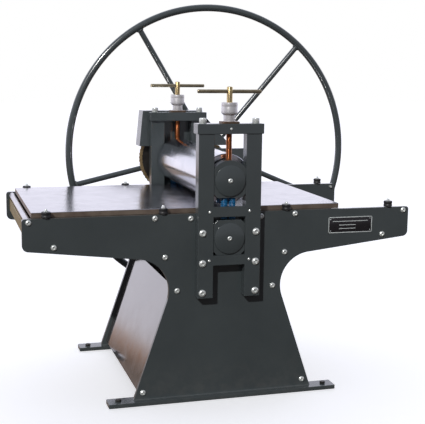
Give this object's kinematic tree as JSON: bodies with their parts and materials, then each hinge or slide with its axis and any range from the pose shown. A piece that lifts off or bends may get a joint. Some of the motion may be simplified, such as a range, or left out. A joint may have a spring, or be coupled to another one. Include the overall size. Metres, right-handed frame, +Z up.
{
  "type": "etching press",
  "caption": "Floor-standing etching press: steel bed driven between two rollers by a large spoked hand wheel and chain, with screw-set roller height.",
  "frame": {"origin": "on the floor, midway between the two side plates, under the rollers' centre lines", "axes": "+X along the bed's travel, to the right when the wheel is on the far side; +Y along the rollers, towards the hand wheel; +Z up"},
  "size_m": [1.9592, 1.2076, 1.8469],
  "materials": {
    "slate_paint": "satin slate grey paint, slight orange peel",
    "gloss_paint": "gloss dark paint over sheet steel",
    "yellow_zinc": "yellow chromate on zinc, slightly iridescent",
    "tie_steel": "satin dark tube",
    "bright_fasteners": "bright zinc-plated steel",
    "dark_fasteners": "black oxide steel",
    "bearing_steel": "ground steel",
    "bronze": "cast and turned bronze",
    "satin_steel": "turned satin steel with dial marks",
    "brass_screw": "yellow metal, thread darker and coppery",
    "mirror_roller": "ground and polished steel",
    "bed_steel": "ground steel plate, near-mirror top, brown sawn edges",
    "idler_steel": "turned steel tube",
    "black_nylon": "turned black nylon",
    "chain_brass": "oiled roller chain, tan coloured",
    "sprocket_steel": "dark oiled steel",
    "spring_blue": "blue enamelled spring steel",
    "plate_black": "black face in a bright border"
  },
  "bodies": {
    "frame": {"cap_screws": "bright_fasteners", "chain_guard": "slate_paint", "dial_barrels": "satin_steel", "drive_chain": "chain_brass", "end_channel": "yellow_zinc", "far_side_plate": "slate_paint", "far_uprights": "slate_paint", "foot_bars": "slate_paint", "guide_pins": "bright_fasteners", "idler_axles": "bright_fasteners", "keeper_bars": "slate_paint", "left_base_panel": "gloss_paint", "levelling_bolts": "dark_fasteners", "lift_springs": "spring_blue", "lower_bearings": "bearing_steel", "lower_blocks": "slate_paint", "lower_crossbars": "slate_paint", "nameplate": "plate_black", "near_side_plate": "slate_paint", "near_uprights": "slate_paint", "plate_bolts": "bright_fasteners", "right_base_panel": "gloss_paint", "screw_bushes": "bronze", "small_screws": "bright_fasteners", "tie_rods": "tie_steel", "upright_bolts": "bright_fasteners", "upright_caps": "slate_paint", "wheel_bracket": "slate_paint", "wheel_housing": "slate_paint"},
    "bed": {"bed": "bed_steel"},
    "lift": {"upper_blocks": "slate_paint", "upper_bearings": "bearing_steel"},
    "top_roller": {"top_roller": "mirror_roller", "top_end_disc": "slate_paint", "roller_sprocket": "sprocket_steel"},
    "bottom_roller": {"bottom_roller": "mirror_roller", "bottom_end_disc": "slate_paint"},
    "near_screw": {"near_jack_screw": "brass_screw", "near_tee_bar": "brass_screw", "near_dial_sleeve": "satin_steel"},
    "far_screw": {"far_jack_screw": "brass_screw", "far_tee_bar": "brass_screw", "far_dial_sleeve": "satin_steel"},
    "wheel": {"wheel_rim": "slate_paint", "wheel_spokes": "slate_paint", "wheel_hub": "slate_paint", "wheel_shaft": "bearing_steel", "wheel_sprocket": "sprocket_steel"},
    "idler_1": {"idler_roller_1": "idler_steel"},
    "idler_2": {"idler_roller_2": "idler_steel"},
    "idler_3": {"idler_roller_3": "idler_steel"},
    "near_guide_1": {"near_guide_roller_1": "black_nylon"},
    "near_guide_2": {"near_guide_roller_2": "black_nylon"},
    "near_guide_3": {"near_guide_roller_3": "black_nylon"},
    "near_guide_4": {"near_guide_roller_4": "black_nylon"},
    "far_guide_1": {"far_guide_roller_1": "black_nylon"},
    "far_guide_2": {"far_guide_roller_2": "black_nylon"},
    "far_guide_3": {"far_guide_roller_3": "black_nylon"},
    "far_guide_4": {"far_guide_roller_4": "black_nylon"}
  },
  "joints": [
    {"name": "wheel_turn", "type": "hinge", "parent": "frame", "child": "wheel", "pos_m": [0.23925, 0.672, 1.035], "axis": [0, -1, 0], "range_deg": [-1140, 1860]},
    {"name": "bed_travel", "type": "slide", "parent": "frame", "child": "bed", "axis": [1, 0, 0], "range_m": [-0.4579, 0.7469]},
    {"name": "lift_travel", "type": "slide", "parent": "frame", "child": "lift", "axis": [0, 0, 1], "range_m": [-0.012, 0.01], "deforming": ["lift_springs", "drive_chain"]},
    {"name": "near_screw_turn", "type": "hinge", "parent": "lift", "child": "near_screw", "pos_m": [0, -0.465, 1.35], "axis": [0, 0, 1], "range_deg": [-865, 721]},
    {"name": "far_screw_turn", "type": "hinge", "parent": "lift", "child": "far_screw", "pos_m": [0, 0.465, 1.35], "axis": [0, 0, 1], "range_deg": [-865, 721]},
    {"name": "top_roller_turn", "type": "hinge", "parent": "lift", "child": "top_roller", "pos_m": [0, 0, 1.014], "axis": [0, -1, 0], "range_deg": [-228.5, 372.5]},
    {"name": "bottom_roller_turn", "type": "hinge", "parent": "frame", "child": "bottom_roller", "pos_m": [0, 0, 0.755], "axis": [0, 1, 0], "range_deg": [-245.09, 399.57]},
    {"name": "idler_1_turn", "type": "hinge", "parent": "frame", "child": "idler_1", "pos_m": [-0.88, 0, 0.848], "axis": [0, 1, 0], "range_deg": [-1846.98, 3013.18]},
    {"name": "idler_2_turn", "type": "hinge", "parent": "frame", "child": "idler_2", "pos_m": [-0.33, 0, 0.848], "axis": [0, 1, 0], "range_deg": [-1846.98, 3013.18]},
    {"name": "idler_3_turn", "type": "hinge", "parent": "frame", "child": "idler_3", "pos_m": [0.33, 0, 0.848], "axis": [0, 1, 0], "range_deg": [-1846.98, 3013.18]},
    {"name": "near_guide_1_turn", "type": "hinge", "parent": "frame", "child": "near_guide_1", "pos_m": [-0.804, -0.4345, 0.879], "axis": [0, 0, 1], "continuous": true},
    {"name": "near_guide_2_turn", "type": "hinge", "parent": "frame", "child": "near_guide_2", "pos_m": [-0.29, -0.4345, 0.879], "axis": [0, 0, 1], "continuous": true},
    {"name": "near_guide_3_turn", "type": "hinge", "parent": "frame", "child": "near_guide_3", "pos_m": [0.29, -0.4345, 0.879], "axis": [0, 0, 1], "continuous": true},
    {"name": "near_guide_4_turn", "type": "hinge", "parent": "frame", "child": "near_guide_4", "pos_m": [0.804, -0.4345, 0.879], "axis": [0, 0, 1], "continuous": true},
    {"name": "far_guide_1_turn", "type": "hinge", "parent": "frame", "child": "far_guide_1", "pos_m": [-0.804, 0.4345, 0.879], "axis": [0, 0, 1], "continuous": true},
    {"name": "far_guide_2_turn", "type": "hinge", "parent": "frame", "child": "far_guide_2", "pos_m": [-0.29, 0.4345, 0.879], "axis": [0, 0, 1], "continuous": true},
    {"name": "far_guide_3_turn", "type": "hinge", "parent": "frame", "child": "far_guide_3", "pos_m": [0.29, 0.4345, 0.879], "axis": [0, 0, 1], "continuous": true},
    {"name": "far_guide_4_turn", "type": "hinge", "parent": "frame", "child": "far_guide_4", "pos_m": [0.804, 0.4345, 0.879], "axis": [0, 0, 1], "continuous": true}
  ],
  "couplings": [
    {"joint": "bed_travel", "follows": "wheel_turn", "m_per_rad": 0.023},
    {"joint": "near_screw_turn", "follows": "lift_travel", "rad_per_m": 1256.6},
    {"joint": "far_screw_turn", "follows": "lift_travel", "rad_per_m": 1256.6},
    {"joint": "top_roller_turn", "follows": "wheel_turn", "ratio": 0.2},
    {"joint": "bottom_roller_turn", "follows": "wheel_turn", "ratio": 0.21455},
    {"joint": "idler_1_turn", "follows": "wheel_turn", "ratio": 1.6197},
    {"joint": "idler_2_turn", "follows": "wheel_turn", "ratio": 1.6197},
    {"joint": "idler_3_turn", "follows": "wheel_turn", "ratio": 1.6197}
  ]
}
